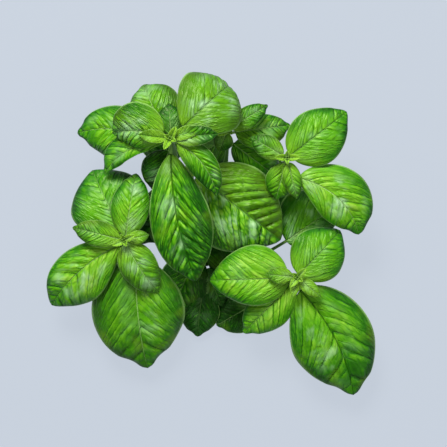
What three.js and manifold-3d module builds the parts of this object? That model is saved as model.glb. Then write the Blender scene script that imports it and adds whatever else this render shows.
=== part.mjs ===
// Basil bunch: six cut sprigs of sweet basil laid down together on a flat surface. Millimetres, +Z up.
// The square stems lie side by side with their cut ends at the front (-Y), fan out towards the back
// and curve up, so that each sprig opens its rosette of leaves to the sky. Seen from above, the
// leaves hide the stems. The lowest leaves and the stems rest on the surface, z = 0.
import * as THREE from "three";
import { mergeVertices } from "three/addons/utils/BufferGeometryUtils.js";
import Module from "manifold-3d";

const wasm = await Module();
wasm.setup();
const { Manifold, Mesh } = wasm;

// Driving dimensions, in mm. A large leaf of sweet basil is 70 to 80 mm long.
const BLADE_THICKNESS = 0.8;
const PETIOLE_AT_STEM = 2.5;
const PETIOLE_AT_BLADE = 1.7;
const SLIM_PETIOLE = 0.62;
const PETIOLE_GROWTH = 0.3;
const MIDRIB_END = 1;
const MIDRIB_REACH = 0.2;
const MIDRIB_ROWS = 10;
const MARGIN_WAVE = 0.018;
const STEM_TAPER = 0.42;
const STEM_SUNK = 0.4;
const LOWEST_BLADE = 0.3;
const FLOOR_EASE = 1.5;
const LARGE_LEAF = 40;
const SMALL_LEAF = 15;

// What a leaf has unless its own line says otherwise. Angles are in degrees. rise: the petiole above
// the level; pitch: the blade at its base; droop: how far it bends down by its tip; turn: blade
// against petiole; side: sideways sweep; roll: tilt about the midrib; fold: each half up from flat
// at the midrib; curl: how far each half bends back down; point: over 1 puts the widest part nearer
// the tip; lop: the left half wider than the right.
const LEAF = {
  rise: 25, pitch: 10, droop: 45, turn: 0, side: 0, roll: 0, fold: 16, curl: 55,
  point: 0.86, lop: 0,
};

// One sprig: apex is its growing tip, cut its cut end, lie and climb how far the stem runs along the
// surface and straight up before it bends, girth its width at the cut. In a leaf, down is the way
// along the stem from the apex to its node, head the compass heading of the petiole (0 = +X,
// 90 = +Y), then the petiole's length and the blade's length and width.
const SPRIGS = [
  {
    // Back left, the tallest: a crown of broad leaves and one long leaf hanging to the front.
    node: "sprig_back_left", apex: [-23, 58, 66],
    cut: [-2.5, -56, 2.1], lie: 60, climb: 63, girth: 5, bud: 62,
    leaves: [
      { down: 8, head: 44, petiole: 11, long: 52, wide: 47, rise: 20, pitch: 20, droop: 115,
        curl: 60, point: 1 },
      { down: 9, head: -90, petiole: 8, long: 80, wide: 39, rise: 0, pitch: 0, droop: 24,
        side: 22, fold: 20, lop: 0.1, point: 1.15 },
      { down: 4, head: 163, petiole: 5, long: 36, wide: 30, pitch: 8, droop: 70, side: 25,
        roll: -20, lop: -0.2 },
      { down: 4, head: -28, petiole: 5, long: 42, wide: 18, pitch: 5, droop: 35, side: -52 },
      { down: 11, head: 180, petiole: 4, long: 47, wide: 20, pitch: 0, droop: 40, side: 58,
        roll: 20, lop: -0.45 },
      { down: 3, head: 6, petiole: 3, long: 26, wide: 13, pitch: 18, droop: 35, fold: 40 },
      { down: 26, head: 158, petiole: 17, long: 50, wide: 34, pitch: -4, droop: 38, side: 36,
        lop: 0.08 },
      { down: 24, head: 120, petiole: 12, long: 36, wide: 33, pitch: 20, droop: 85, point: 1,
        turn: -6, lop: -0.06 },
      { down: 16, head: 94, petiole: 5, long: 20, wide: 17, pitch: 20, droop: 60 },
      { down: 20, head: 246, petiole: 5, long: 30, wide: 26, pitch: 5, droop: 70 },
      { down: 62, head: 112, petiole: 16, long: 46, wide: 32, rise: 5, pitch: -12, droop: 34 },
      { down: 1.5, head: 173, petiole: 2, long: 17, wide: 9, rise: 10, pitch: 12, droop: 22,
        fold: 50 },
      { down: 1.5, head: 20, petiole: 2, long: 18, wide: 9, rise: 10, pitch: 16, droop: 34,
        fold: 50 },
    ],
  },
  {
    // Left: a round pair to the back, two long leaves to the side and front.
    node: "sprig_left", apex: [-51.5, -2, 48],
    cut: [-7.5, -58, 1.8], lie: 20, climb: 45, girth: 4.4, bud: 25,
    leaves: [
      { down: 9, head: 116, petiole: 3, long: 48, wide: 49.5, pitch: 12, droop: 52, point: 1.05 },
      { down: 6, head: 81, petiole: 3, long: 41, wide: 25, pitch: 20, droop: 62 },
      { down: 4, head: 166, petiole: 3, long: 30, wide: 17, pitch: 15, droop: 30 },
      { down: 9, head: 207, petiole: 5, long: 64, wide: 36, pitch: 0, droop: 45, side: 30,
        point: 1.1, lop: 0.12 },
      { down: 4, head: -64, petiole: 2, long: 40, wide: 24, pitch: 8, droop: 60, side: 12,
        point: 0.75 },
      { down: 18, head: -62, petiole: 10, long: 75, wide: 61.5, turn: -30, pitch: -3, droop: 32,
        side: 14, point: 0.94 },
      { down: 45, head: 158, petiole: 6, long: 41, wide: 30, rise: 10, pitch: -15, droop: 27 },
      { down: 2, head: 12, petiole: 2, long: 14, wide: 9, pitch: 18, droop: 40 },
    ],
  },
  {
    // Back right: two big shiny leaves to the right, small ones to the front, one dark leaf far below.
    node: "sprig_right", apex: [46.5, 47.5, 50],
    cut: [7.2, -58, 1.9], lie: 55, climb: 48, girth: 4.4, bud: 0,
    leaves: [
      { down: 6, head: 38, petiole: 3, long: 45, wide: 36, pitch: 20, droop: 50, point: 0.8,
        lop: -0.06 },
      { down: 11, head: -56, petiole: 15, long: 55.5, wide: 36, turn: 45, pitch: 4, droop: 38,
        side: -64, point: 1.08, lop: 0.15 },
      { down: 3, head: -76, petiole: 3, long: 23, wide: 12, pitch: 10, droop: 35 },
      { down: 8, head: -104, petiole: 3, long: 24, wide: 20, pitch: 5, droop: 50 },
      { down: 3, head: 150, petiole: 3, long: 23, wide: 15, pitch: 15, droop: 35 },
      { down: 96, head: 32, petiole: 35, long: 42, wide: 38, turn: 3, rise: 30, pitch: 5,
        droop: 20, lop: 0.3 },
      { down: 58, head: 8, petiole: 5, long: 36, wide: 26, rise: 0, pitch: -13, droop: 18 },
    ],
  },
  {
    // Front right: a rosette of four with one very large leaf hanging to the front right.
    node: "sprig_front_right", apex: [53, -24.5, 44],
    cut: [13.2, -55, 1.7], lie: 12, climb: 42, girth: 4.2, bud: 50,
    leaves: [
      { down: 7, head: 46, petiole: 2, long: 40, wide: 36, pitch: 10, droop: 50, point: 0.82 },
      { down: 8, head: 182, petiole: 5, long: 50, wide: 39.5, pitch: 14, droop: 45, point: 0.78,
        lop: -0.12 },
      { down: 10, head: 228, petiole: 4, long: 47, wide: 28, pitch: 0, droop: 42, lop: 0.08 },
      { down: 14, head: -64, petiole: 9, long: 79, wide: 54.5, turn: 18, pitch: 0, droop: 30,
        side: -34, point: 0.95, lop: -0.06 },
      { down: 2, head: 174, petiole: 3, long: 17, wide: 11, pitch: 20, droop: 30 },
      { down: 2, head: -40, petiole: 2, long: 17, wide: 9, pitch: 15, droop: 30 },
      { down: 2, head: -104, petiole: 2, long: 11, wide: 6, pitch: 25, droop: 30 },
      { down: 50, head: 210, petiole: 8, long: 26, wide: 27, rise: 14, pitch: 5, droop: 18 },
    ],
  },
  {
    // Back middle: a narrow young sprig between its neighbours.
    node: "sprig_back", apex: [11, 65, 46],
    cut: [2.4, -54, 1.8], lie: 60, climb: 43, girth: 4.2, bud: 35,
    leaves: [
      { down: 4, head: 32, petiole: 2, long: 27, wide: 14, pitch: 10, droop: 25 },
      { down: 2, head: -112, petiole: 2, long: 13, wide: 13, pitch: 20, droop: 40 },
      { down: 12, head: 8, petiole: 5, long: 36, wide: 23, pitch: 0, droop: 30, lop: -0.15 },
      { down: 20, head: -36, petiole: 5, long: 40, wide: 26, pitch: -12, droop: 30, lop: 0.15 },
      { down: 1, head: 80, petiole: 1, long: 13, wide: 5, pitch: 40, droop: 30, fold: 45 },
      { down: 18, head: 210, petiole: 4, long: 28, wide: 24, pitch: -5, droop: 30, lop: 0.2 },
      { down: 50, head: 16, petiole: 8, long: 35, wide: 26, rise: 5, pitch: -15, droop: 25 },
    ],
  },
  {
    // Middle: a short sprig on top of the stems, with the widest leaf of all and dark leaves in front.
    node: "sprig_middle", apex: [-12, 40, 36],
    cut: [-1, -49, 7.2], lie: 40, climb: 30, girth: 4.4, bud: 40,
    leaves: [
      { down: 3, head: -37, petiole: 5, long: 68, wide: 59, pitch: 13, droop: 48, lop: -0.05 },
      { down: 14, head: 231, petiole: 5, long: 49, wide: 33, pitch: 0, droop: 30 },
      { down: 20, head: -80, petiole: 5, long: 50, wide: 31, pitch: -5, droop: 30 },
      { down: 62, head: -118, petiole: 8, long: 38, wide: 34, pitch: 4, droop: 20, side: 10,
        rise: 45 },
      { down: 84, head: -102, petiole: 7, long: 30, wide: 27, rise: 40, pitch: 0, droop: 28,
        side: 10 },
      { down: 70, head: -66, petiole: 7, long: 26, wide: 22, rise: 45, pitch: 0, droop: 15 },
      { down: 57, head: -16, petiole: 7, long: 31, wide: 32, rise: 45, pitch: 0, droop: 20,
        lop: -0.2 },
      { down: 4, head: -108, petiole: 3, long: 20, wide: 15, pitch: 8, droop: 50 },
    ],
  },
];

// The four youngest leaves round each apex: narrow, half folded, nearly upright, with no petiole yet.
// bud is the heading of the first.
const budLeaves = ({ bud }) => [0, 1, 0, 1].map((inner, k) => ({
  ...LEAF, down: 1, head: bud + 90 * k, petiole: 0, rise: 60, long: 9.5 - 3 * inner,
  wide: 5 - 1.4 * inner, pitch: 50 + 14 * inner, droop: 40, fold: 45, curl: 40,
}));

const rad = THREE.MathUtils.degToRad;
const along = (head, pitch) =>
  new THREE.Vector3(Math.cos(pitch) * Math.cos(head), Math.cos(pitch) * Math.sin(head), Math.sin(pitch));
const leftOf = (head) => new THREE.Vector3(-Math.sin(head), Math.cos(head), 0);

// The stem's centre line: a cubic curve along the surface that bends up into the apex.
function stemLine({ apex, cut, lie, climb }) {
  const a = new THREE.Vector3(...apex);
  const c = new THREE.Vector3(...cut);
  const flat = new THREE.Vector3(a.x - c.x, a.y - c.y, 0).normalize();
  const bend = c.clone().addScaledVector(flat, lie);
  const foot = a.clone().setZ(a.z - climb);
  return new THREE.CubicBezierCurve3(c, bend, foot, a);
}

// The place on a stem that lies `down` mm below its apex.
function nodeOn(line, down) {
  return line.getPointAt(1 - Math.min(down / line.getLength(), 1));
}

// A blade's half width at u (0 at the base, 1 at the tip): round at the base, drawn out at the tip.
function halfWidth(leaf, u) {
  return (leaf.wide / 2) * Math.sin(Math.PI * Math.min(u, 1) ** leaf.point) ** (0.58 + 0.12 * u);
}

// The midrib as rows of point, heading and pitch, stepped from the blade's base.
function midrib(leaf, base, rows) {
  const steps = rows * 4;
  const angles = (k) => ({
    head: rad(leaf.head + leaf.turn + (leaf.side * k) / steps),
    pitch: rad(leaf.pitch - leaf.droop * (k / steps) ** 1.3),
  });
  const points = [{ at: base.clone(), ...angles(0) }];
  const at = base.clone();
  for (let k = 1; k <= steps; k++) {
    const before = angles(k - 1);
    const now = angles(k);
    const mean = along(before.head, before.pitch).add(along(now.head, now.pitch)).multiplyScalar(0.5);
    at.addScaledVector(mean, leaf.long / steps);
    if (k % 4 === 0) points.push({ at: at.clone(), ...now });
  }
  return points;
}

// The middle surface of a blade as a grid: rows from base to tip, columns from right to left.
// Each half rises from the midrib, bends back down and waves along its margin. A blade that would
// pass through the surface eases onto it.
function bladeGrid(leaf, base, rows, cols) {
  return midrib(leaf, base, rows).map(({ at, head, pitch }, i) => {
    const u = i / rows;
    const roll = rad(leaf.roll);
    const left = leftOf(head);
    const up = new THREE.Vector3().crossVectors(along(head, pitch), left);
    const across = left.clone().multiplyScalar(Math.cos(roll)).addScaledVector(up, Math.sin(roll));
    const out = up.clone().multiplyScalar(Math.cos(roll)).addScaledVector(left, -Math.sin(roll));
    const fold = rad(leaf.fold);
    const curl = rad(leaf.curl);
    return Array.from({ length: cols + 1 }, (_, j) => {
      const v = (2 * j) / cols - 1;
      const t = Math.abs(v);
      const half = Math.sign(v);
      const w = halfWidth(leaf, u) * (1 + leaf.lop * half);
      const x = (w * (Math.sin(fold) - Math.sin(fold - curl * t)) * half) / curl;
      const wave = MARGIN_WAVE * leaf.long * Math.sin(2 * Math.PI * (2 * u + 0.3 * half));
      const y = (w * (Math.cos(fold - curl * t) - Math.cos(fold))) / curl
        + wave * t ** 3 * Math.sin(Math.PI * u);
      const p = at.clone().addScaledVector(across, x).addScaledVector(out, y);
      const ease = LOWEST_BLADE + FLOOR_EASE;
      if (p.z < ease) p.z = LOWEST_BLADE + FLOOR_EASE * Math.exp((p.z - ease) / FLOOR_EASE);
      return p;
    });
  });
}

// The unit normals of a grid, each from its neighbours. The two pointed ends take the next row's.
function gridNormals(grid) {
  const rows = grid.length - 1;
  const cols = grid[0].length - 1;
  return grid.map((_, i) => {
    const k = Math.min(Math.max(i, 1), rows - 1);
    const pointed = i === 0 || i === rows;
    return grid[k].map((_, j) => {
      const c = pointed ? cols / 2 : j;
      const du = grid[k + 1][c].clone().sub(grid[k - 1][c]);
      const dv = grid[k][Math.min(c + 1, cols)].clone().sub(grid[k][Math.max(c - 1, 0)]);
      return du.cross(dv).normalize();
    });
  });
}

// A closed solid from lists of points and triangles.
function solid(points, triangles) {
  return new Manifold(new Mesh({
    numProp: 3,
    vertProperties: new Float32Array(points.flatMap((p) => [p.x, p.y, p.z])),
    triVerts: new Uint32Array(triangles.flat()),
  }));
}

// A blade of even thickness with a rim round its margin and one pointed end at each end.
// Both faces are split into triangles alike.
function bladeSolid(leaf, base, rows, cols) {
  const grid = bladeGrid(leaf, base, rows, cols);
  const normals = gridNormals(grid);
  const points = [];
  const face = [1, -1].map((way) => grid.map((row, i) => {
    const pointed = i === 0 || i === rows;
    return row.map((p, j) => {
      if (!pointed || j === 0) {
        points.push(p.clone().addScaledVector(normals[i][j], (way * BLADE_THICKNESS) / 2));
      }
      return points.length - 1;
    });
  }));
  const [top, under] = face;
  const triangles = [];
  for (let i = 0; i < rows; i++) {
    for (let j = 0; j < cols; j++) {
      const corners = (side) => [side[i][j], side[i + 1][j], side[i + 1][j + 1], side[i][j + 1]];
      const [a, b, c, d] = corners(top);
      const [e, f, g, h] = corners(under);
      if (i < rows - 1) triangles.push([a, b, c], [e, g, f]);
      else triangles.push([a, b, d], [e, h, f]);
      if (i > 0 && i < rows - 1) triangles.push([a, c, d], [e, h, g]);
    }
    triangles.push(
      [top[i][0], under[i][0], under[i + 1][0]],
      [top[i][0], under[i + 1][0], top[i + 1][0]],
    );
    triangles.push(
      [top[i][cols], under[i + 1][cols], under[i][cols]],
      [top[i][cols], top[i + 1][cols], under[i + 1][cols]],
    );
  }
  return solid(points, triangles);
}

// A closed rod through the given rings: centre, sideways and upward directions, and half width.
function rod(rings, section) {
  const points = rings.flatMap(({ at, side, up, half }) =>
    section.map(([x, y]) => at.clone().addScaledVector(side, x * half).addScaledVector(up, y * half)));
  const n = section.length;
  const triangles = [];
  for (let i = 0; i < rings.length - 1; i++) {
    for (let j = 0; j < n; j++) {
      const a = i * n + j;
      const b = i * n + ((j + 1) % n);
      triangles.push([a, b, b + n], [a, b + n, a + n]);
    }
  }
  const last = (rings.length - 1) * n;
  for (let j = 1; j < n - 1; j++) {
    triangles.push([0, j + 1, j], [last, last + j, last + j + 1]);
  }
  return solid(points, triangles);
}

// The stem is square with its corners taken off, as in all of the mint family.
const STEM_SECTION = [
  [1, -0.55], [1, 0.55], [0.55, 1], [-0.55, 1], [-1, 0.55], [-1, -0.55], [-0.55, -1], [0.55, -1],
];
const ROUND_SECTION = [0, 72, 144, 216, 288].map((a) => [Math.cos(rad(a)), Math.sin(rad(a))]);

function stemSolid(sprig, line) {
  const rings = [];
  const count = 12;
  const side = leftOf(Math.atan2(sprig.apex[1] - sprig.cut[1], sprig.apex[0] - sprig.cut[0]));
  for (let k = 0; k <= count; k++) {
    const t = k / count;
    const ahead = line.getTangentAt(t);
    const up = ahead.clone().cross(side).normalize();
    rings.push({ at: line.getPointAt(t), side, up, half: (sprig.girth / 2) * (1 - STEM_TAPER * t) });
  }
  return rod(rings, STEM_SECTION);
}

// The petiole, from the middle of the stem to the blade, and on under the blade as its midrib.
// A small leaf has a slimmer one.
function petioleSolid(leaf, node, base) {
  const small = leaf.long < LARGE_LEAF;
  const scale = small ? SLIM_PETIOLE + (PETIOLE_GROWTH * leaf.long) / LARGE_LEAF : 1;
  const side = leftOf(rad(leaf.head));
  const lift = along(rad(leaf.head), rad(leaf.rise)).cross(side);
  const ring = (at, across, up, width) => ({ at, side: across, up, half: (width * scale) / 2 });
  const rings = [
    ring(node, side, lift, PETIOLE_AT_STEM),
    ring(node.clone().lerp(base, 0.6), side, lift, (PETIOLE_AT_STEM + PETIOLE_AT_BLADE) / 2),
  ];
  midrib(leaf, base, MIDRIB_ROWS).slice(0, MIDRIB_REACH * MIDRIB_ROWS + 1).forEach((rib, i, ribs) => {
    const across = leftOf(rib.head);
    const up = along(rib.head, rib.pitch).cross(across);
    const width = PETIOLE_AT_BLADE + ((MIDRIB_END - PETIOLE_AT_BLADE) * i) / (ribs.length - 1);
    rings.push(ring(rib.at.clone().addScaledVector(up, -0.3 * width * scale), across, up, width));
  });
  return rod(rings, ROUND_SECTION);
}

// A leaf: petiole and blade. Large blades have the finer grid.
function leafSolids(line, leaf) {
  const node = nodeOn(line, leaf.down);
  const base = node.clone().addScaledVector(along(rad(leaf.head), rad(leaf.rise)), leaf.petiole);
  const [rows, cols] = leaf.long > LARGE_LEAF ? [9, 6] : leaf.long > SMALL_LEAF ? [6, 4] : [4, 2];
  const blade = bladeSolid(leaf, base, rows, cols);
  return leaf.petiole > 0 ? [blade, petioleSolid(leaf, node, base)] : [blade];
}

// A block with its top at z = 0, which takes off what would sink into the surface.
function groundBlock() {
  const width = 400;
  const depth = 40;
  const box = new THREE.BoxGeometry(width, width, depth).translate(0, 0, -depth / 2);
  box.deleteAttribute("normal");
  box.deleteAttribute("uv");
  const { attributes, index } = mergeVertices(box);
  return new Manifold(new Mesh({
    numProp: 3,
    vertProperties: attributes.position.array,
    triVerts: new Uint32Array(index.array),
  }));
}

const ground = groundBlock();

// A whole sprig is one grown thing: stem, petioles and blades joined, trimmed where it rests.
function sprigSolid(sprig) {
  const line = stemLine({ ...sprig, cut: [sprig.cut[0], sprig.cut[1], sprig.cut[2] - STEM_SUNK] });
  const leaves = [...sprig.leaves.map((leaf) => ({ ...LEAF, ...leaf })), ...budLeaves(sprig)];
  const pieces = [stemSolid(sprig, line), ...leaves.flatMap((leaf) => leafSolids(line, leaf))];
  return Manifold.union(pieces).subtract(ground);
}

// The joined solid as drawable geometry.
function geometryOf(shape) {
  const mesh = shape.getMesh();
  const geometry = new THREE.BufferGeometry();
  geometry.setAttribute("position", new THREE.BufferAttribute(mesh.vertProperties, 3));
  geometry.setIndex(new THREE.BufferAttribute(mesh.triVerts, 1));
  return geometry.toNonIndexed();
}

const bunch = new THREE.Group();
SPRIGS.forEach((sprig, k) => {
  const green = new THREE.Color().setHSL(0.27 + 0.012 * k, 0.6, 0.3);
  const leafy = new THREE.MeshStandardMaterial({ color: green, roughness: 0.45, metalness: 0 });
  const mesh = new THREE.Mesh(geometryOf(sprigSolid(sprig)), leafy);
  mesh.name = sprig.node;
  bunch.add(mesh);
});

export default bunch;
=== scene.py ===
import math

import bpy
import numpy as np
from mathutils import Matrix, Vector


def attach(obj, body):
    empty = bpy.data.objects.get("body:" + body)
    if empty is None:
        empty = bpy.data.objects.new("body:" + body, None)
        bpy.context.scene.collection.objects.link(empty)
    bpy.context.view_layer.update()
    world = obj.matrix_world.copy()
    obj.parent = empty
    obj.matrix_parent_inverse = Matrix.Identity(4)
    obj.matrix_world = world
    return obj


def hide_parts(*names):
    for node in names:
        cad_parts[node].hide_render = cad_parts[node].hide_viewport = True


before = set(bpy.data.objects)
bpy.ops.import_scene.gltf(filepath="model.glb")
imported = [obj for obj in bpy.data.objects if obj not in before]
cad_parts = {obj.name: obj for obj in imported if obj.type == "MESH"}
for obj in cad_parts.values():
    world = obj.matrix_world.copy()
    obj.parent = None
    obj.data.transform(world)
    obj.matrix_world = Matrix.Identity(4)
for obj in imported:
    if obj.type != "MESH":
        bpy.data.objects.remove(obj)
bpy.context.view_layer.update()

# Back-left sprig, the tallest of the six. Each blade of sweet basil is one thin sheet of living tissue,
# quilted between the side veins and folded along the midrib. It is paler and duller underneath.
# The leaves grow in pairs from the square stem, each on its petiole, and the youngest close the tip.
MM = 0.001

# Sizes in mm. The waves of the margin are a share of the blade's length high, and the taper and the
# rounded corners of a stem are shares of its half width.
BLADE_THICKNESS = 0.34
MARGIN_WAVES = 2
MARGIN_WAVE_HEIGHT = 0.018
LOWEST_BLADE = 0.3
FLOOR_EASE = 1.5
STEM_SUNK = 0.4
STEM_TAPER = 0.42
STEM_STEPS = 160
STEM_CORNER = 0.45
LARGE_LEAF = 40
SMALL_LEAF = 15

# What a leaf has unless its own line says otherwise. The sizes are in millimetres, the angles in degrees.
# down is the way along the stem from its tip to the leaf's node, head the way that the petiole points,
# anticlockwise from +X, and rise its angle above the level. long and wide are the size of the blade.
# pitch is the blade's angle at its base and droop how far it bends down by its tip. It is turned from its
# petiole by turn, swept sideways by side and tilted about its midrib by roll. fold raises each half at
# the midrib and curl bends it back down. point moves the widest part, to the tip if over 1, to the base
# if under 1. lop makes the left half wider than the right, and drawn draws out the tip.
# veins is the number of side veins in each half, slant how far they lean forwards, quilt the depth of the
# relief and groove how much painted shade darkens the midrib in its groove, pale at 0. shade is the
# green, deep at 0 and pale at 1, partly the leaf's own green and partly painted shade, deepest on leaves
# low in the bunch. The painted sheen is a pale bluish haze painted on as reflected light, and youth and
# warm are two yellower greens. A youth below 0 takes away the yellow near a growing tip.
# lit paints light on the left half, paler and with more painted sheen than the right, or on the right
# one if it is below 0.
LEAF = dict(
    rise=25, pitch=10, droop=45, turn=0, side=0, roll=0, fold=16, curl=55, point=0.86, lop=0, drawn=0.3,
    veins=5.5, slant=0.85, quilt=1.0, youth=0.0, shade=0.5, painted_sheen=0.3, lit=0.0, warm=0.0, groove=0.2,
)


def bud_leaves(bud):
    """The youngest leaves round an apex, narrow and half folded: two open pairs and two still closed."""
    outer = dict(down=1, petiole=0, rise=60, droop=40, fold=45, curl=40, quilt=0.6)
    inner = dict(down=0.2, petiole=0, droop=-14, fold=50, curl=30, quilt=0.2)
    leaves = []
    for quarter in (0, 180):
        leaves.append(dict(outer, head=bud + quarter, long=9.5, wide=5, pitch=50, youth=0.75))
        leaves.append(dict(outer, head=bud + quarter + 90, long=6.5, wide=3.6, pitch=64, youth=0.9))
    for quarter in (45, 135, 225, 315):
        leaves.append(dict(inner, head=bud + quarter, long=3.4, wide=1.7, pitch=62, youth=1.0))
    return leaves


def along(head, pitch):
    """Unit vectors at a heading, anticlockwise from +X, and a pitch above the level, in radians."""
    return np.stack([np.cos(pitch) * np.cos(head), np.cos(pitch) * np.sin(head), np.sin(pitch)], -1)


def left_of(head):
    """Level unit vectors to the left of a heading."""
    return np.stack([-np.sin(head), np.cos(head), np.zeros_like(head)], -1)


def stem_points(apex, cut, lie, climb):
    """The stem's centre line from the cut end to the apex, in mm."""
    apex = np.array(apex, float)
    cut = np.array([cut[0], cut[1], cut[2] - STEM_SUNK])
    flat = apex - cut
    flat[2] = 0
    bend = cut + flat / np.linalg.norm(flat) * lie
    foot = apex - np.array([0, 0, climb])
    t = np.linspace(0, 1, STEM_STEPS + 1)[:, None]
    return (1 - t) ** 3 * cut + 3 * (1 - t) ** 2 * t * bend + 3 * (1 - t) * t ** 2 * foot + t ** 3 * apex


def node_on(line, down):
    """The place on a stem that lies `down` mm below its apex."""
    line = line[::-1]
    walked = np.r_[0, np.cumsum(np.linalg.norm(np.diff(line, axis=0), axis=1))]
    return np.array([np.interp(down, walked, line[:, k]) for k in range(3)])


def midrib(leaf, base, rows):
    """The blade's midrib from base to tip: points, headings and pitches."""
    s = np.linspace(0, 1, rows * 4 + 1)
    head = np.radians(leaf["head"] + leaf["turn"] + leaf["side"] * s)
    pitch = np.radians(leaf["pitch"] - leaf["droop"] * s ** 1.3)
    ahead = along(head, pitch)
    steps = (ahead[1:] + ahead[:-1]) / 2 * (leaf["long"] / (len(s) - 1))
    points = base + np.r_[np.zeros((1, 3)), np.cumsum(steps, axis=0)]
    return points[::4], head[::4], pitch[::4]


# How far forward the lowest side veins lean, how much less the ones at the tip do, how strongly they all
# curve, and how they are spaced: under 1 they are closer together near the base.
VEIN_FORWARD = 1.35
VEIN_FORWARD_LOSS = 0.8
VEIN_CURVE = 0.4
VEIN_CROWDING = 0.85


def vein_number(leaf, u, half, reach, own):
    """Where each point lies among the side veins: at a whole number it lies on one."""
    # Each side vein leaves the midrib at `start` and curves forwards, the lowest ones most of all.
    bent = leaf["slant"] * (reach + VEIN_CURVE * reach ** 2 / (leaf["wide"] / 2)) / leaf["long"]
    start = u
    for _ in range(4):
        start = u - (VEIN_FORWARD - VEIN_FORWARD_LOSS * np.clip(start, 0, 1)) * bent
    uneven = 0.16 * np.sin(9 * start + own) + 0.1 * np.sin(17 * start + 2.3 * own + half)
    stagger = (0.2 + 0.12 * math.sin(own)) * half
    return leaf["veins"] * np.sign(start) * np.abs(start) ** VEIN_CROWDING + stagger + uneven


# The widths in mm of a side vein's crease, of the flat strip beside the midrib and of the midrib's
# groove, the depth of this groove and the share of it lost by the tip, and the height of the ripple.
CREASE_WIDTH = 2.4
FLAT_WIDTH = 1.6
GROOVE_WIDTH = 1.1
GROOVE_DEPTH = 0.4
GROOVE_LOSS = 0.6
RIPPLE_HEIGHT = 0.3


def relief(leaf, u, t, half, reach, rib, own):
    """How far the skin stands off the plain curved blade, in mm."""
    between = np.abs(np.sin(math.pi * rib))
    spacing = leaf["long"] / leaf["veins"]
    crease = np.exp(-(between * spacing / CREASE_WIDTH) ** 2)
    # The swellings between the side veins die away at the midrib, the margin and both ends.
    clear = (1 - np.exp(-(reach / FLAT_WIDTH) ** 2)) * (1 - t ** 3) * np.sin(math.pi * u) ** 0.5
    # The wider the space between two side veins, the higher it swells.
    deep = leaf["quilt"] * (0.35 + 0.12 * spacing)
    swell = 0.7 + 0.3 * np.sin(5 * u + 3 * half + own) + 0.3 * np.sin(7 * rib + 2 * own)
    swellings = deep * (swell * between ** 0.9 - 0.55 * crease - 0.3) * clear
    groove = GROOVE_DEPTH * leaf["quilt"] * np.exp(-(reach / GROOVE_WIDTH) ** 2) * (1 - GROOVE_LOSS * u)
    waves = np.sin(26 * u + 2 * half + own) * t ** 5 * np.sin(math.pi * u)
    return swellings - groove + leaf["quilt"] * RIPPLE_HEIGHT * waves


# The drawn-out tip begins at this share of the blade's length. The yellow-green of young growth fades
# away over this length of stem and of blade, in mm.
TIP_FROM = 0.86
FRESH_STEM = 22
FRESH_BLADE = 9


def blade_surface(leaf, base, rows, cols):
    """The middle surface of a blade, its normals, and where each point lies on the leaf."""
    points, head, pitch = midrib(leaf, base, rows)
    u, v = np.meshgrid(np.linspace(0, 1, rows + 1), np.linspace(-1, 1, cols + 1), indexing="ij")
    # u is 0 at the base and 1 at the tip, t is 0 at the midrib and 1 at the margin, and half is 1 on the
    # left of the midrib and -1 on the right. The columns stand closer together near the midrib.
    half = np.sign(v)
    t = 0.75 * np.abs(v) + 0.25 * np.abs(v) ** 2
    roll = math.radians(leaf["roll"])
    left = left_of(head)
    up = np.cross(along(head, pitch), left)
    across = left * math.cos(roll) + up * math.sin(roll)
    out = up * math.cos(roll) - left * math.sin(roll)
    fold, curl = math.radians(leaf["fold"]), math.radians(leaf["curl"])
    # The outline is full at the base and slimmer towards the tip. A point lies x mm to the side of the
    # midrib and y mm above it.
    width = leaf["wide"] / 2 * np.sin(math.pi * u ** leaf["point"]) ** (0.58 + 0.12 * u)
    width = width * (1 - leaf["drawn"] * np.sin(math.pi * np.clip((u - TIP_FROM) / (1 - TIP_FROM), 0, 1)))
    w = width * (1 + leaf["lop"] * half)
    x = w * (math.sin(fold) - np.sin(fold - curl * t)) * half / curl
    wave = MARGIN_WAVE_HEIGHT * leaf["long"] * np.sin(2 * math.pi * (MARGIN_WAVES * u + 0.3 * half))
    y = w * (np.cos(fold - curl * t) - math.cos(fold)) / curl + wave * t ** 3 * np.sin(math.pi * u)
    reach = w * t
    # The leaf's own number sets its creases apart from those of the other leaves.
    own = leaf["head"] + 3 * leaf["long"] + 40 * leaf["wide"]
    rib = vein_number(leaf, u, half, reach, own)
    y = y + relief(leaf, u, t, half, reach, rib, own)
    p = points[:, None, :] + across[:, None, :] * x[..., None] + out[:, None, :] * y[..., None]
    # Where a blade would sink into the floor, it bends to lie just above it.
    ease = LOWEST_BLADE + FLOOR_EASE
    low = p[..., 2] < ease
    p[low, 2] = LOWEST_BLADE + FLOOR_EASE * np.exp((p[low, 2] - ease) / FLOOR_EASE)
    normal = np.cross(np.gradient(p, axis=0), np.gradient(p, axis=1))
    normal[0], normal[-1] = normal[1].sum(0), normal[-2].sum(0)
    normal /= np.linalg.norm(normal, axis=-1, keepdims=True)
    # Near the growing tip the leaves are still yellow-green where they leave the stem.
    near_tip = 0.75 * np.clip(1 - leaf["down"] / FRESH_STEM, 0, 1)
    fresh = near_tip * np.exp(-(u * leaf["long"] / FRESH_BLADE) ** 2)
    place = dict(
        along=u, across=t, rib=rib, reach=reach, run=u * leaf["long"], sideways=reach * half,
        youth=np.clip(leaf["youth"] + fresh, 0, 1),
        # Painted light: lit makes one half paler, with more painted sheen and less of the warm green.
        shade=leaf["shade"] + 0.12 * leaf["lit"] * half,
        painted_sheen=leaf["painted_sheen"] * (1 + leaf["lit"] * half),
        warm=leaf["warm"] * (1 - leaf["lit"] * half) / (1 + abs(leaf["lit"])),
    )
    return p, normal, place


def leaf_base(line, leaf):
    """A leaf's node on the stem, and where its petiole meets the blade."""
    node = node_on(line, leaf["down"])
    return node, node + leaf["petiole"] * along(math.radians(leaf["head"]), math.radians(leaf["rise"]))


def blade_grid_size(leaf):
    """Rows and columns of a blade's mesh."""
    if leaf["long"] > LARGE_LEAF:
        return 60, 36
    if leaf["long"] > SMALL_LEAF:
        return 40, 24
    return 16, 10


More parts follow.
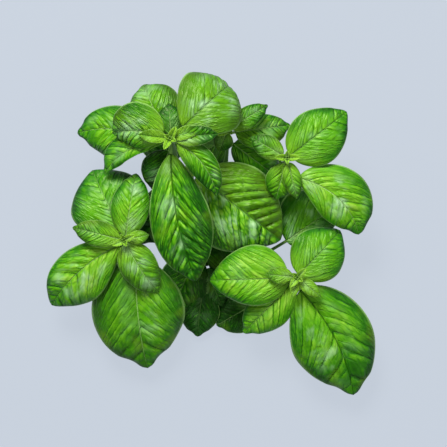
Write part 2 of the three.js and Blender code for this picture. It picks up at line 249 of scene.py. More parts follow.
# What the materials read at each point of a blade: the first row differs from point to point, the
# second is the same all over a leaf. On the leaf map each leaf lies this far from the last, in mm.
POINT_MARKS = ("along", "across", "rib", "reach", "youth", "shade", "painted_sheen", "warm")
LEAF_MARKS = ("quilt", "groove")
MAP_STEP = 90


def blades_mesh(name, line, leaves):
    """All blades of a sprig as one mesh: two faces and a rim each, pointed at base and tip."""
    verts, faces, skins, flat = [], [], [], []
    marks = {key: [] for key in POINT_MARKS + LEAF_MARKS}
    count = 0
    for number, leaf in enumerate(leaves):
        rows, cols = blade_grid_size(leaf)
        p, normal, place = blade_surface(leaf, leaf_base(line, leaf)[1], rows, cols)
        keep = np.ones(p.shape[:2], bool)
        keep[0, 1:] = keep[-1, 1:] = False
        index = np.cumsum(keep).reshape(keep.shape) - 1
        size = int(keep.sum())
        for side in (1, -1):
            verts.append((p + side * normal * BLADE_THICKNESS / 2)[keep])
            flat.append(np.stack([place["sideways"][keep] + MAP_STEP * number, place["run"][keep]], -1))
            for key in POINT_MARKS:
                marks[key].append(place[key][keep])
            for key in LEAF_MARKS:
                marks[key].append(np.full(size, leaf[key], float))
        top = index + count
        low = top + size
        for i in range(rows):
            for j in range(cols):
                a, b, c, d = top[i, j], top[i + 1, j], top[i + 1, j + 1], top[i, j + 1]
                e, f, g, h = low[i, j], low[i + 1, j], low[i + 1, j + 1], low[i, j + 1]
                if i == 0:
                    faces += [(a, b, c), (e, g, f)]
                elif i == rows - 1:
                    faces += [(a, b, d), (e, h, f)]
                else:
                    faces += [(a, b, c, d), (e, h, g, f)]
                skins += [0, 1]
            faces += [
                (top[i, 0], low[i, 0], low[i + 1, 0], top[i + 1, 0]),
                (top[i, cols], top[i + 1, cols], low[i + 1, cols], low[i, cols]),
            ]
            skins += [0, 0]
        count += 2 * size
    mesh = bpy.data.meshes.new(name)
    mesh.from_pydata(np.concatenate(verts) * MM, [], [tuple(int(k) for k in face) for face in faces])
    mesh.polygons.foreach_set("material_index", skins)
    mesh.polygons.foreach_set("use_smooth", [True] * len(faces))
    for key, values in marks.items():
        mesh.attributes.new(key, "FLOAT", "POINT").data.foreach_set("value", np.concatenate(values))
    corner = np.empty(len(mesh.loops), int)
    mesh.loops.foreach_get("vertex_index", corner)
    # The leaf map is in centimetres across and along each blade.
    mesh.uv_layers.new(name="leaf").data.foreach_set("uv", (np.concatenate(flat)[corner] / 10).ravel())
    mesh.validate()
    return mesh


def add(tree, kind, values=(), **settings):
    """A node with its settings. Values or other nodes' outputs fill its inputs, in order or by name."""
    node = tree.nodes.new(kind)
    for key, value in settings.items():
        setattr(node, key, value)
    for key, value in (values.items() if isinstance(values, dict) else enumerate(values)):
        if isinstance(value, bpy.types.NodeSocket):
            tree.links.new(value, node.inputs[key])
        else:
            node.inputs[key].default_value = value
    return node


def maths(tree, operation, *values):
    """The output of a node that does one sum."""
    return add(tree, "ShaderNodeMath", values, operation=operation).outputs[0]


def times(tree, first, second):
    return maths(tree, "MULTIPLY", first, second)


def plus(tree, first, *more):
    for term in more:
        first = maths(tree, "ADD", first, term)
    return first


def less(tree, first, second):
    return maths(tree, "SUBTRACT", first, second)


def blend(tree, amount, first, second):
    """The first colour where amount is 0, the second where it is 1."""
    return add(tree, "ShaderNodeMix", {0: amount, 6: first, 7: second}, data_type="RGBA").outputs[2]


def fade(tree, value, start, end):
    """0 at start, 1 at end, smooth between."""
    ends = [value, start, end, 0.0, 1.0]
    return add(tree, "ShaderNodeMapRange", ends, interpolation_type="SMOOTHSTEP").outputs[0]


def vein_tree():
    """The pattern of the veins, for the upper and the under face of a blade.

    It knows where each spot lies between two side veins, how far it is from the midrib and where it is
    on the leaf.
    """
    tree = bpy.data.node_groups.new("LeafVeins", "ShaderNodeTree")
    for name in ("Rib", "Across", "Along", "Reach"):
        tree.interface.new_socket(name=name, in_out="INPUT", socket_type="NodeSocketFloat")
    tree.interface.new_socket(name="Map", in_out="INPUT", socket_type="NodeSocketVector")
    for name in ("Side Vein", "Midrib", "Crease", "Lit Ridge", "Streak", "Lines", "Net"):
        tree.interface.new_socket(name=name, in_out="OUTPUT", socket_type="NodeSocketFloat")
    handed = add(tree, "NodeGroupOutput")
    given = add(tree, "NodeGroupInput").outputs
    across = given["Across"]
    wobble = add(tree, "ShaderNodeTexNoise", {"Vector": given["Map"], "Scale": 1.1, "Detail": 2.0})
    sway = times(tree, less(tree, wobble.outputs[0], 0.5), 0.3)
    rib = plus(tree, given["Rib"], sway)
    turned = times(tree, rib, math.pi)
    between = maths(tree, "ABSOLUTE", maths(tree, "SINE", turned))
    inside = less(tree, 1.0, fade(tree, across, 0.7, 0.97))
    strength = add(tree, "ShaderNodeTexNoise", {"Vector": given["Map"], "Scale": 0.7, "Detail": 1.0})
    strength = fade(tree, strength.outputs[0], 0.4, 0.58)
    side_vein = times(tree, less(tree, 1.0, fade(tree, between, 0.015, 0.11)), inside)
    side_vein = times(tree, side_vein, plus(tree, 0.2, times(tree, strength, 0.8)))
    crease = times(tree, less(tree, 1.0, fade(tree, between, 0.0, 0.5)), inside)
    crease = times(tree, crease, strength)
    # The swelling rises steeply on the side of the crease nearer to the tip: this strip gets a little
    # relief and a painted highlight.
    phase = maths(tree, "FRACT", rib)
    lit_ridge = times(tree, fade(tree, phase, 0.05, 0.16), less(tree, 1.0, fade(tree, phase, 0.2, 0.5)))
    lit_ridge = times(tree, times(tree, lit_ridge, strength), inside)
    # Weaker veins halfway between the side veins end well before the margin.
    halfway = maths(tree, "ABSOLUTE", maths(tree, "COSINE", turned))
    weaker = less(tree, 1.0, fade(tree, halfway, 0.02, 0.2))
    weaker = times(tree, weaker, less(tree, 1.0, fade(tree, across, 0.1, 0.45)))
    side_vein = maths(tree, "MAXIMUM", side_vein, times(tree, weaker, 0.35))
    width = plus(tree, given["Reach"], times(tree, given["Along"], 0.45))
    midrib_line = less(tree, 1.0, fade(tree, width, 0.28, 0.75))
    sideways = add(tree, "ShaderNodeSeparateXYZ", [given["Map"]]).outputs[0]

    def beside_veins(along_veins, across_blade):
        """A map that follows the side veins, stretched by its own share in each direction."""
        stretched = [times(tree, rib, along_veins), times(tree, sideways, across_blade)]
        return add(tree, "ShaderNodeCombineXYZ", stretched).outputs[0]

    # Broad and fine streaks run alongside the side veins.
    streak = add(tree, "ShaderNodeTexNoise", {
        "Vector": beside_veins(3.0, 1.1), "Scale": 1.0, "Detail": 3.0, "Roughness": 0.55,
    }).outputs[0]
    lines = add(tree, "ShaderNodeTexNoise", {
        "Vector": beside_veins(8.0, 2.4), "Scale": 1.0, "Detail": 2.0,
    }).outputs[0]
    # Cross veins join the side veins and leave small raised cells between them.
    cells = add(tree, "ShaderNodeTexVoronoi", {
        "Vector": beside_veins(2.0, 2.6), "Scale": 1.0, "Randomness": 0.85,
    }, feature="DISTANCE_TO_EDGE")
    net = fade(tree, cells.outputs["Distance"], 0.0, 0.28)
    found = (side_vein, midrib_line, crease, lit_ridge, streak, lines, net)
    for number, socket in enumerate(found):
        tree.links.new(socket, handed.inputs[number])
    return tree


vein_pattern = vein_tree()


def mark(tree, name):
    """What the mesh says under this name at each point of a blade."""
    return add(tree, "ShaderNodeAttribute", attribute_name=name, attribute_type="GEOMETRY").outputs["Fac"]


def veins_on(tree):
    """The outputs of the vein pattern on a leaf, and the leaf map."""
    leaf_map = add(tree, "ShaderNodeUVMap", uv_map="leaf").outputs[0]
    group = add(tree, "ShaderNodeGroup", node_tree=vein_pattern)
    for name in ("Rib", "Across", "Along", "Reach"):
        tree.links.new(mark(tree, name.lower()), group.inputs[name])
    tree.links.new(leaf_map, group.inputs["Map"])
    return group.outputs, leaf_map


def cloud(tree, vector, scale, detail=2.0):
    """Soft noise about zero, from -0.5 to 0.5."""
    noise = add(tree, "ShaderNodeTexNoise", {"Vector": vector, "Scale": scale, "Detail": detail})
    return less(tree, noise.outputs[0], 0.5)


def new_material(name):
    """A material, its tree of nodes and its shader."""
    material = bpy.data.materials.new(name)
    material.use_nodes = True
    return material, material.node_tree, material.node_tree.nodes["Principled BSDF"]


def raise_skin(tree, shader, height, strength, distance):
    """Let the shader see a height, in steps of distance metres, as small bumps."""
    bump = add(tree, "ShaderNodeBump", {"Strength": strength, "Distance": distance, "Height": height})
    tree.links.new(bump.outputs[0], shader.inputs["Normal"])


# The greens of the upper face, from the deepest shade to the palest swelling.
LEAF_GREENS = (
    (0.0, (0.002, 0.062, 0.0, 1)),
    (0.28, (0.02, 0.168, 0.0, 1)),
    (0.55, (0.085, 0.33, 0.002, 1)),
    (0.78, (0.165, 0.44, 0.015, 1)),
    (1.0, (0.28, 0.54, 0.05, 1)),
)
WARM_GREEN = (0.15, 0.32, 0.008, 1)
YOUNG_GREEN = (0.25, 0.52, 0.03, 1)
# Painted shade in the side veins, the painted sheen, the pale midrib and the midrib darkened by painted
# shade in its groove, and the painted light at the rim.
VEIN_GROOVE_SHADE = (0.005, 0.065, 0.001, 1)
PAINTED_SHEEN_COLOUR = (0.36, 0.6, 0.33, 1)
MIDRIB_PALE = (0.36, 0.62, 0.2, 1)
MIDRIB_GROOVE_SHADE = (0.008, 0.08, 0.002, 1)
PAINTED_RIM_LIGHT = (0.28, 0.52, 0.14, 1)


def leaf_upper():
    """The glossy upper face, with painted shade in its creases, at the tip and margin, and lighter
    swellings between.
    """
    material, tree, shader = new_material("basil_leaf_upper")
    veins, leaf_map = veins_on(tree)
    along_leaf, across_leaf = mark(tree, "along"), mark(tree, "across")
    quilt = mark(tree, "quilt")
    # Each pattern makes the green paler, or deeper where its share is below 0.
    shade = plus(
        tree, mark(tree, "shade"),
        times(tree, cloud(tree, leaf_map, 0.45), 0.8),
        times(tree, cloud(tree, leaf_map, 2.2), 0.35),
        times(tree, times(tree, less(tree, veins["Streak"], 0.5), quilt), 0.13),
        times(tree, times(tree, less(tree, veins["Net"], 0.8), quilt), 0.22),
        times(tree, times(tree, less(tree, veins["Lines"], 0.5), quilt), 0.26),
        # Painted shade in the creases, a painted highlight on the steep side of each swelling, and
        # painted shade towards the tip and the margin, which bend down away from the light.
        times(tree, times(tree, veins["Crease"], quilt), -0.22),
        times(tree, veins["Lit Ridge"], 0.19),
        times(tree, fade(tree, along_leaf, 0.5, 1.0), -0.3),
        times(tree, fade(tree, across_leaf, 0.4, 1.0), -0.34),
        0.11,
    )
    ramp = add(tree, "ShaderNodeValToRGB", [shade])
    greens = ramp.color_ramp.elements
    greens[0].color, greens[1].color = LEAF_GREENS[0][1], LEAF_GREENS[-1][1]
    for place, green in LEAF_GREENS[1:-1]:
        greens.new(place).color = green
    colour = ramp.outputs[0]
    # Yellower patches, where the light shines through the blade.
    warm = fade(tree, cloud(tree, leaf_map, 0.6, 1.0), 0.04, 0.2)
    warm = plus(tree, times(tree, warm, 0.35), mark(tree, "warm"))
    colour = blend(tree, warm, colour, WARM_GREEN)
    colour = blend(tree, mark(tree, "youth"), colour, YOUNG_GREEN)
    # Painted shade in the sunken side veins.
    colour = blend(tree, times(tree, veins["Side Vein"], 0.72), colour, VEIN_GROOVE_SHADE)
    # A painted sheen, a pale bluish haze in streaks painted on as reflected light, most of it near the
    # midrib.
    painted_sheen_mask = plus(tree, times(tree, veins["Streak"], 0.6), times(tree, cloud(tree, leaf_map, 0.8), 1.2))
    painted_sheen_mask = fade(tree, painted_sheen_mask, 0.22, 0.6)
    near = less(tree, 1.0, fade(tree, across_leaf, 0.25, 0.85))
    near = times(tree, near, less(tree, 1.0, fade(tree, along_leaf, 0.6, 0.95)))
    painted_sheen_mask = times(tree, times(tree, painted_sheen_mask, mark(tree, "painted_sheen")), near)
    colour = blend(tree, painted_sheen_mask, colour, PAINTED_SHEEN_COLOUR)
    # The midrib is pale, or darkened by painted shade in its groove.
    rib_colour = blend(tree, mark(tree, "groove"), MIDRIB_PALE, MIDRIB_GROOVE_SHADE)
    colour = blend(tree, times(tree, veins["Midrib"], 0.7), colour, rib_colour)
    # A painted pale rim: light shining through the thin margin.
    rim = times(tree, fade(tree, across_leaf, 0.93, 0.99), 0.75)
    colour = blend(tree, rim, colour, PAINTED_RIM_LIGHT)
    tree.links.new(colour, shader.inputs["Base Color"])
    rough = plus(tree, 0.34, times(tree, veins["Streak"], 0.14), times(tree, veins["Crease"], 0.1))
    tree.links.new(rough, shader.inputs["Roughness"])
    shader.inputs["Specular IOR Level"].default_value = 0.32
    shader.inputs["Specular Tint"].default_value = (0.92, 1.0, 0.62, 1)
    height = plus(
        tree, times(tree, veins["Streak"], 0.2), times(tree, veins["Lines"], 0.2),
        times(tree, veins["Net"], 0.6), times(tree, veins["Side Vein"], -1.3),
        times(tree, veins["Lit Ridge"], 0.5), times(tree, veins["Midrib"], -0.9),
    )
    raise_skin(tree, shader, height, strength=0.75, distance=0.0006)
    return material


UNDER_DEEP = (0.07, 0.2, 0.035, 1)
UNDER_PALE = (0.15, 0.33, 0.08, 1)
UNDER_VEIN = (0.26, 0.44, 0.15, 1)


def leaf_under():
    """The dull, paler under face, with its veins raised."""
    material, tree, shader = new_material("basil_leaf_under")
    veins, leaf_map = veins_on(tree)
    patches = plus(tree, 0.5, cloud(tree, leaf_map, 0.8))
    colour = blend(tree, patches, UNDER_DEEP, UNDER_PALE)
    raised = maths(tree, "MAXIMUM", veins["Side Vein"], veins["Midrib"])
    colour = blend(tree, times(tree, raised, 0.8), colour, UNDER_VEIN)
    tree.links.new(colour, shader.inputs["Base Color"])
    shader.inputs["Roughness"].default_value = 0.6
    height = plus(tree, times(tree, veins["Net"], -0.3), raised)
    raise_skin(tree, shader, height, strength=0.7, distance=0.0005)
    return material


# The skin is deep green at the cut end and pale green from this height up, in metres.
STEM_DEEP = (0.09, 0.22, 0.035, 1)
STEM_PALE = (0.17, 0.36, 0.05, 1)
STEM_STREAK = (0.25, 0.42, 0.12, 1)
PALE_FROM = 0.05


def stem_skin():
    """The fresh green skin of stems and petioles, paler on young growth."""
    material, tree, shader = new_material("basil_stem")
    place = add(tree, "ShaderNodeTexCoord").outputs["Object"]
    streaks = add(tree, "ShaderNodeTexNoise", {"Vector": place, "Scale": 160.0, "Detail": 3.0})
    height = add(tree, "ShaderNodeSeparateXYZ", [place]).outputs[2]
    colour = blend(tree, fade(tree, height, 0.0, PALE_FROM), STEM_DEEP, STEM_PALE)
    colour = blend(tree, times(tree, streaks.outputs[0], 0.5), colour, STEM_STREAK)
    tree.links.new(colour, shader.inputs["Base Color"])
    shader.inputs["Roughness"].default_value = 0.45
    raise_skin(tree, shader, streaks.outputs[0], strength=0.4, distance=0.0004)
    return material


upper_face, under_face, stem_green = leaf_upper(), leaf_under(), stem_skin()


def growing_tree(name, inputs):
    """An empty tree of geometry nodes with these inputs, its input node and its output node."""
    tree = bpy.data.node_groups.new(name, "GeometryNodeTree")
    for title, kind in inputs.items():
        tree.interface.new_socket(name=title, in_out="INPUT", socket_type="NodeSocket" + kind)
    tree.interface.new_socket(name="Grown", in_out="OUTPUT", socket_type="NodeSocketGeometry")
    return tree, add(tree, "NodeGroupInput"), add(tree, "NodeGroupOutput")


def sweep_tree():
    """A tree of nodes that runs a square section with rounded corners along each line of the input."""
    tree, given, handed = growing_tree("StalkSweep", {
        "Lines": "Geometry", "Corner": "Float", "Skin": "Material",
    })
    section = add(tree, "GeometryNodeCurvePrimitiveQuadrilateral", {"Width": 2.0, "Height": 2.0})
    rounded = add(tree, "GeometryNodeFilletCurve", {
        "Curve": section.outputs[0], "Radius": given.outputs["Corner"], "Count": 3,
    }, mode="POLY")
    lines = add(tree, "GeometryNodeMeshToCurve", {"Mesh": given.outputs["Lines"]})
    width = add(tree, "GeometryNodeInputNamedAttribute", {"Name": "half_width"}, data_type="FLOAT")
    swept = add(tree, "GeometryNodeCurveToMesh", {
        "Curve": lines.outputs[0], "Profile Curve": rounded.outputs[0],
        "Scale": width.outputs["Attribute"], "Fill Caps": True,
    })
    real = add(tree, "GeometryNodeRealizeInstances", {"Geometry": swept.outputs[0]})
    skinned = add(tree, "GeometryNodeSetMaterial", {
        "Geometry": real.outputs[0], "Material": given.outputs["Skin"],
    })
    tree.links.new(skinned.outputs[0], handed.inputs["Grown"])
    return tree


stalk_sweep = sweep_tree()


def grown(name, tree, mesh, inputs):
    """The plain mesh that a tree of geometry nodes makes from a mesh."""
    source = bpy.data.objects.new(name, mesh)
    bpy.context.collection.objects.link(source)
    modifier = source.modifiers.new("growth", "NODES")
    modifier.node_group = tree
    for item in tree.interface.items_tree:
        if item.item_type == "SOCKET" and item.in_out == "INPUT" and item.name in inputs:
            modifier[item.identifier] = inputs[item.name]
    bpy.context.view_layer.update()
    made = bpy.data.meshes.new_from_object(source.evaluated_get(bpy.context.evaluated_depsgraph_get()))
    bpy.data.objects.remove(source)
    return made


# The sizes of the fine hairs on the stems, in mm.
HAIR_LENGTH = 0.7
HAIR_THICKNESS = 0.12
HAIRS_PER_SQUARE_MM = 0.7
HAIR_SEED = 4


def hair_tree():
    """A tree of nodes that stands short tapering hairs straight out from a surface."""
    tree, given, handed = growing_tree("StemHairs", {
        "Stem": "Geometry", "Per Square Metre": "Float", "Length": "Float", "Thickness": "Float",
        "Seed": "Int", "Skin": "Material",
    })
    spots = add(tree, "GeometryNodeDistributePointsOnFaces", {
        "Mesh": given.outputs["Stem"], "Density": given.outputs["Per Square Metre"],
        "Seed": given.outputs["Seed"],
    })
    hair = add(tree, "GeometryNodeMeshCone", {
        "Vertices": 3, "Radius Top": times(tree, given.outputs["Thickness"], 1 / 12),
        "Radius Bottom": times(tree, given.outputs["Thickness"], 0.5), "Depth": given.outputs["Length"],
    }, fill_type="NONE")
    # The hairs are from half as long to the full length.
    spread = add(tree, "FunctionNodeRandomValue", {
        2: 0.5, 3: 1.0, "Seed": given.outputs["Seed"],
    }, data_type="FLOAT")
    stood = add(tree, "GeometryNodeInstanceOnPoints", {
        "Points": spots.outputs["Points"], "Instance": hair.outputs["Mesh"],
        "Rotation": spots.outputs["Rotation"], "Scale": spread.outputs[1],
    })
    real = add(tree, "GeometryNodeRealizeInstances", {"Geometry": stood.outputs[0]})
    skinned = add(tree, "GeometryNodeSetMaterial", {
        "Geometry": real.outputs[0], "Material": given.outputs["Skin"],
    })
    tree.links.new(skinned.outputs[0], handed.inputs["Grown"])
    return tree


stem_hairs = hair_tree()


def lines_mesh(name, lines):
    """Open lines of points with a half width at each, as a mesh of edges."""
    mesh = bpy.data.meshes.new(name)
    points = np.concatenate([line for line, _ in lines])
    starts = np.cumsum([0] + [len(line) for line, _ in lines])
    edges = [(k, k + 1) for a, b in zip(starts, starts[1:]) for k in range(a, b - 1)]
    mesh.from_pydata(points * MM, edges, [])
    widths = np.concatenate([width for _, width in lines]) * MM
    mesh.attributes.new("half_width", "FLOAT", "POINT").data.foreach_set("value", widths)
    return mesh


# Half widths of the petiole at both ends and of the midrib under the blade, in mm, and how far the
# petiole sags to meet the midrib. Small leaves have a share of these widths, which grows with their
# length. The petiole is almost round. The raised midrib ends just before the blade's tip.
PETIOLE_AT_STEM = 1.25
PETIOLE_AT_BLADE = 0.9
RIB_AT_BASE = 0.96
RIB_AT_TIP = 0.16
PETIOLE_SAG = 0.55
SLIM_PETIOLE = 0.62
PETIOLE_GROWTH = 0.3
PETIOLE_CORNER = 0.9
PETIOLE_POINTS = 7
RIB_ROWS = 24
RIB_POINTS = 22


def petiole_line(line, leaf):
    """From inside the stem to the blade, and on under the blade as its raised midrib."""
    node, base = leaf_base(line, leaf)
    scale = 1
    if leaf["long"] < LARGE_LEAF:
        scale = SLIM_PETIOLE + PETIOLE_GROWTH * leaf["long"] / LARGE_LEAF
    way = np.linspace(0, 1, PETIOLE_POINTS)
    first = way[:, None] * (base - node) + node
    points, head, pitch = midrib(leaf, base, RIB_ROWS)
    up = np.cross(along(head, pitch), left_of(head))
    s = np.linspace(0, 1, RIB_ROWS + 1)
    rib_width = (RIB_AT_BASE - RIB_AT_TIP) * (1 - s) ** 0.8 + RIB_AT_TIP
    groove = GROOVE_DEPTH * leaf["quilt"] * (1 - GROOVE_LOSS * s)
    under = points - up * (rib_width + groove)[:, None]
    under[:, 2] = np.maximum(under[:, 2], LOWEST_BLADE)
    stalk_width = np.linspace(PETIOLE_AT_STEM, PETIOLE_AT_BLADE, PETIOLE_POINTS)
    first[:, 2] -= PETIOLE_SAG * way ** 2
    widths = np.r_[stalk_width[:-1], rib_width[:RIB_POINTS]]
    return np.r_[first[:-1], under[:RIB_POINTS]], widths * scale


def grow_sprig(name, node, apex, cut, lie, climb, girth, bud, leaves):
    """Leaves and stem of one sprig, in place of its solid.

    The stem runs from its cut end to its apex, for about lie along the floor and climb straight up, and
    is girth thick at the cut, all in mm. bud is the heading of the youngest leaves.
    """
    line = stem_points(apex, cut, lie, climb)
    leaves = [{**LEAF, **leaf} for leaf in leaves + bud_leaves(bud)]
    blades = blades_mesh("leaves_" + name, line, leaves)
    blades.materials.append(upper_face)
    blades.materials.append(under_face)
    walked = np.linspace(0, 1, len(line))
    stem_line = lines_mesh("stem", [(line, girth / 2 * (1 - STEM_TAPER * walked))])
    stem = grown("stem", stalk_sweep, stem_line, {"Corner": STEM_CORNER, "Skin": stem_green})
    stalked = [petiole_line(line, leaf) for leaf in leaves if leaf["petiole"] > 0]
    stalk_lines = lines_mesh("petioles", stalked)
    stalks = grown("petioles", stalk_sweep, stalk_lines, {"Corner": PETIOLE_CORNER, "Skin": stem_green})
    hairs = grown("hairs", stem_hairs, stem.copy(), {
        "Per Square Metre": HAIRS_PER_SQUARE_MM / MM ** 2, "Length": HAIR_LENGTH * MM,
        "Thickness": HAIR_THICKNESS * MM, "Seed": HAIR_SEED, "Skin": stem_green,
    })
    for mesh in (stem, stalks, hairs):
        # The lowest stalks are pressed a little flat by the surface that they rest on.
        for vertex in mesh.vertices:
            vertex.co.z = max(vertex.co.z, 0)
        mesh.polygons.foreach_set("use_smooth", [True] * len(mesh.polygons))
    for title, mesh in (("leaves_", blades), ("stem_", stem), ("petioles_", stalks), ("hairs_", hairs)):
        piece = bpy.data.objects.new(title + name, mesh)
        bpy.context.collection.objects.link(piece)
        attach(piece, "root")
        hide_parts(node)


grow_sprig(
    "back_left", "sprig_back_left",
    apex=(-23, 58, 66), cut=(-2.5, -56, 2.1), lie=60, climb=63, girth=5, bud=62,
    leaves=[
        dict(down=8, head=44, petiole=11, long=52, wide=47, rise=20, pitch=20, droop=115, curl=60,
             point=1, drawn=0.1, shade=0.35, painted_sheen=0.9, quilt=0.5, veins=7, groove=0.8, warm=0.35),
        dict(down=9, head=-90, petiole=8, long=80, wide=39, rise=0, pitch=0, droop=24, side=22,
             fold=20, lop=0.1, point=1.15, drawn=0.15, shade=0.5, painted_sheen=0.4, quilt=1.6, veins=9,
             slant=1.2, groove=1, lit=-0.6),
        dict(down=4, head=163, petiole=5, long=36, wide=30, pitch=8, droop=70, side=25, roll=-20,
             lop=-0.2, shade=0.58, painted_sheen=0.8, quilt=1.4, veins=6.5, groove=0),
        dict(down=4, head=-28, petiole=5, long=42, wide=18, pitch=5, droop=35, side=-52,
             shade=0.45, painted_sheen=1.5, quilt=1.35, veins=9, slant=1.2, groove=0),
        dict(down=11, head=180, petiole=4, long=47, wide=20, pitch=0, droop=40, side=58, roll=20,
             lop=-0.45, shade=0.64, painted_sheen=0.3, quilt=1.1, veins=6),
        dict(down=3, head=6, petiole=3, long=26, wide=13, pitch=18, droop=35, fold=40, shade=0.38,
             painted_sheen=0.6, quilt=1.4, veins=6.5),
        dict(down=26, head=158, petiole=17, long=50, wide=34, pitch=-4, droop=38, side=36,
             lop=0.08, shade=0.46, painted_sheen=0.8, quilt=0.8, veins=6),
        dict(down=24, head=120, petiole=12, long=36, wide=33, pitch=20, droop=85, point=1, turn=-6,
             lop=-0.06, shade=0.42, painted_sheen=0.8, quilt=0.7, veins=6, warm=0.25),
        dict(down=16, head=94, petiole=5, long=20, wide=17, pitch=20, droop=60, shade=0.25, painted_sheen=0.2),
        dict(down=20, head=246, petiole=5, long=30, wide=26, pitch=5, droop=70, shade=0.18,
             painted_sheen=0.3, quilt=1.3),
        dict(down=62, head=112, petiole=16, long=46, wide=32, rise=5, pitch=-12, droop=34,
             shade=0.25, painted_sheen=0.2),
        dict(down=1.5, head=173, petiole=2, long=17, wide=9, rise=10, pitch=12, droop=22, fold=50,
             shade=0.5, youth=0.3, veins=7),
        dict(down=1.5, head=20, petiole=2, long=18, wide=9, rise=10, pitch=16, droop=34, fold=50,
             shade=0.45, youth=0.25, veins=7),
    ],
)

# Left sprig, the same living tissue throughout. A round pair of leaves grows to the back, a long leaf to
# the side and a very large one hangs to the front. Its stem was cut at the foot and lies loose, untied.
grow_sprig(
    "left", "sprig_left",
    apex=(-51.5, -2, 48), cut=(-7.5, -58, 1.8), lie=20, climb=45, girth=4.4, bud=25,
    leaves=[
        dict(down=9, head=116, petiole=3, long=48, wide=49.5, pitch=12, droop=52, point=1.05,
             drawn=0, shade=0.46, painted_sheen=0.5, quilt=0.45, veins=6.5),
        dict(down=6, head=81, petiole=3, long=41, wide=25, pitch=20, droop=62, shade=0.56,
             drawn=0.1, painted_sheen=0.8, quilt=0.65, veins=6.5),
        dict(down=4, head=166, petiole=3, long=30, wide=17, pitch=15, droop=30, shade=0.38,
             youth=0.1, painted_sheen=0.2, veins=7),
        dict(down=9, head=207, petiole=5, long=64, wide=36, pitch=0, droop=45, side=30, point=1.1,
             lop=0.12, drawn=0.05, shade=0.66, painted_sheen=0.9, quilt=0.85, veins=7, groove=0.5),
        dict(down=4, head=-64, petiole=2, long=40, wide=24, pitch=8, droop=60, side=12, point=0.75,
             shade=0.46, painted_sheen=0.8, veins=7, quilt=1.1, youth=0.15),
        dict(down=18, head=-62, petiole=10, long=75, wide=61.5, turn=-30, pitch=-3, droop=32,
             side=14, point=0.94, shade=0.42, painted_sheen=0.2, quilt=0.55, veins=7.5, groove=0,
             warm=0.1, lit=0.5),
        dict(down=45, head=158, petiole=6, long=41, wide=30, rise=10, pitch=-15, droop=27, shade=0.2),
        dict(down=2, head=12, petiole=2, long=14, wide=9, pitch=18, droop=40, shade=0.45, youth=0.1),
    ],
)

# Right sprig, at the back. Its two big leaves are firm, smooth and shiny, the young ones at its tip still
# soft. One dark old leaf grows far down the stem on a long petiole. It too is cut and lies loose.
grow_sprig(
    "right", "sprig_right",
    apex=(46.5, 47.5, 50), cut=(7.2, -58, 1.9), lie=55, climb=48, girth=4.4, bud=0,
    leaves=[
        dict(down=6, head=38, petiole=3, long=45, wide=36, pitch=20, droop=50, point=0.8,
             lop=-0.06, drawn=0.1, shade=0.51, painted_sheen=0.3, quilt=0.5, veins=6.5, groove=0.8),
        dict(down=11, head=-56, petiole=15, long=55.5, wide=36, turn=45, pitch=4, droop=38,
             side=-64, point=1.08, lop=0.15, drawn=0.2, shade=0.67, painted_sheen=0.9, quilt=0.7, veins=6.5,
             groove=0),
        dict(down=3, head=-76, petiole=3, long=23, wide=12, pitch=10, droop=35, shade=0.34, youth=0.1),
        dict(down=8, head=-104, petiole=3, long=24, wide=20, pitch=5, droop=50, shade=0.46, youth=0.05),
        dict(down=3, head=150, petiole=3, long=23, wide=15, pitch=15, droop=35, shade=0.34, youth=0.05),
        dict(down=96, head=32, petiole=35, long=42, wide=38, turn=3, rise=30, pitch=5, droop=20,
             lop=0.3, shade=0.34, painted_sheen=0.5, quilt=0.4, lit=0.5),
        dict(down=58, head=8, petiole=5, long=36, wide=26, rise=0, pitch=-13, droop=18, shade=0.12,
             quilt=0.4),
    ],
)

# Front-right sprig. A short climbing stem opens a rosette of four full-grown leaves, one of them very
# large and hanging to the front right, round a tip of soft young leaves that are half folded.
grow_sprig(
    "front_right", "sprig_front_right",
    apex=(53, -24.5, 44), cut=(13.2, -55, 1.7), lie=12, climb=42, girth=4.2, bud=50,
    leaves=[
        dict(down=7, head=46, petiole=2, long=40, wide=36, pitch=10, droop=50, point=0.82,
             drawn=0.05, shade=0.52, painted_sheen=0.3, quilt=0.7, veins=6.5, groove=0.7),
        dict(down=8, head=182, petiole=5, long=50, wide=39.5, pitch=14, droop=45, point=0.78,
             lop=-0.12, drawn=0, shade=0.68, painted_sheen=0.2, quilt=0.7, veins=7, groove=0.6),
        dict(down=10, head=228, petiole=4, long=47, wide=28, pitch=0, droop=42, lop=0.08,
             shade=0.66, painted_sheen=0.1, quilt=0.9, veins=6.5, groove=0.4),
        dict(down=14, head=-64, petiole=9, long=79, wide=54.5, turn=18, pitch=0, droop=30,
             side=-34, point=0.95, lop=-0.06, drawn=0.2, shade=0.45, painted_sheen=0.4, quilt=0.65, veins=6,
             groove=1, lit=-0.6),
        dict(down=2, head=174, petiole=3, long=17, wide=11, pitch=20, droop=30, shade=0.5, youth=0.15),
        dict(down=2, head=-40, petiole=2, long=17, wide=9, pitch=15, droop=30, shade=0.5, youth=0.2),
        dict(down=2, head=-104, petiole=2, long=11, wide=6, pitch=25, droop=30, shade=0.6, youth=0.4),
        dict(down=50, head=210, petiole=8, long=26, wide=27, rise=14, pitch=5, droop=18, shade=0.1,
             painted_sheen=0.3),
    ],
)

